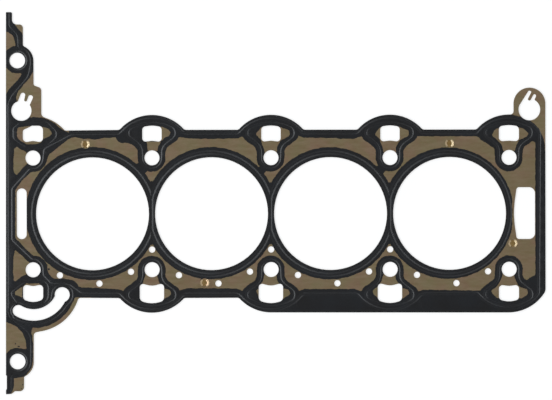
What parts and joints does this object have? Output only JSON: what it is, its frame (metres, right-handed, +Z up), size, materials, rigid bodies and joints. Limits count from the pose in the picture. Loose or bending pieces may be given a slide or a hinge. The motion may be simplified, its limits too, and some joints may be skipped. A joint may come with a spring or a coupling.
{
  "type": "cylinder head gasket",
  "caption": "Flat multi-layer steel gasket for an in-line engine, with large round cylinder openings, pressed sealing beads, black printed bands and an end flange.",
  "frame": {"origin": "centre of the ten head bolt holes, on the line of the cylinder openings, at the face that lies on the engine block", "axes": "+X along the row of cylinder openings, away from the end flange; +Y across the row, away from the curved slot; +Z up, from the block to the cylinder head"},
  "size_m": [0.39, 0.2761, 0.0013],
  "materials": {
    "printed_sheet": "satin black rubber print in bands on brown tinted spring steel",
    "bare_sheet": "bare cold rolled sheet, brown tint",
    "rivet_metal": "bright golden, pressed"
  },
  "bodies": {
    "root": {"head_side_beaded_sheet": "printed_sheet", "flat_middle_sheet": "bare_sheet", "block_side_beaded_sheet": "printed_sheet", "sheet_rivets": "rivet_metal"}
  },
  "joints": []
}
